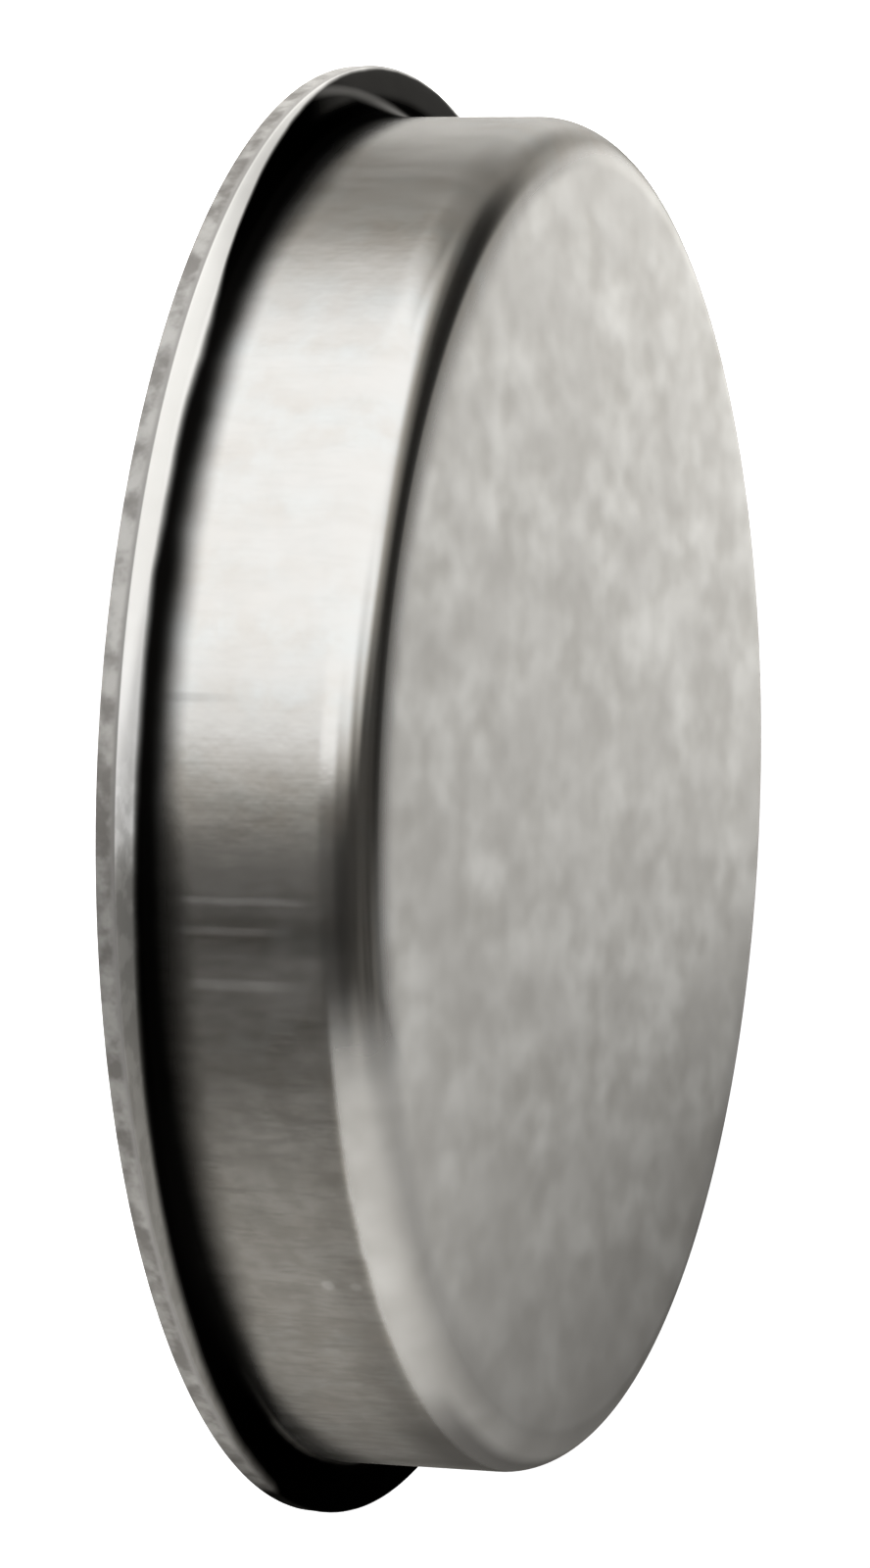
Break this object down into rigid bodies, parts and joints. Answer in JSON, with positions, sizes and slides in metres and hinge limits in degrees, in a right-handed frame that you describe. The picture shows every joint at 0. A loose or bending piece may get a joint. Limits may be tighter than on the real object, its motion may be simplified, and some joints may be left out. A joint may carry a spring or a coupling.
{
  "type": "pipe plug",
  "caption": "Shallow round cup pressed from one stainless sheet: a plain wall that fits inside a pipe end, a closed flat face, and a narrow flange round the open side.",
  "frame": {"origin": "centre of the flange's back face, on the plug's axis, where the plug stands", "axes": "+Z along the plug's axis from the flange to the closed face; X and Y lie across it, and the plug is round, so neither is preferred"},
  "size_m": [0.0892, 0.0892, 0.0146],
  "materials": {
    "stainless": "pressed stainless sheet: burnished drawn wall and bends with fine marks along the axis, matt mill finish on the closed face, torn grain on the blanked rim"
  },
  "bodies": {
    "root": {"pipe_plug": "stainless"}
  },
  "joints": []
}
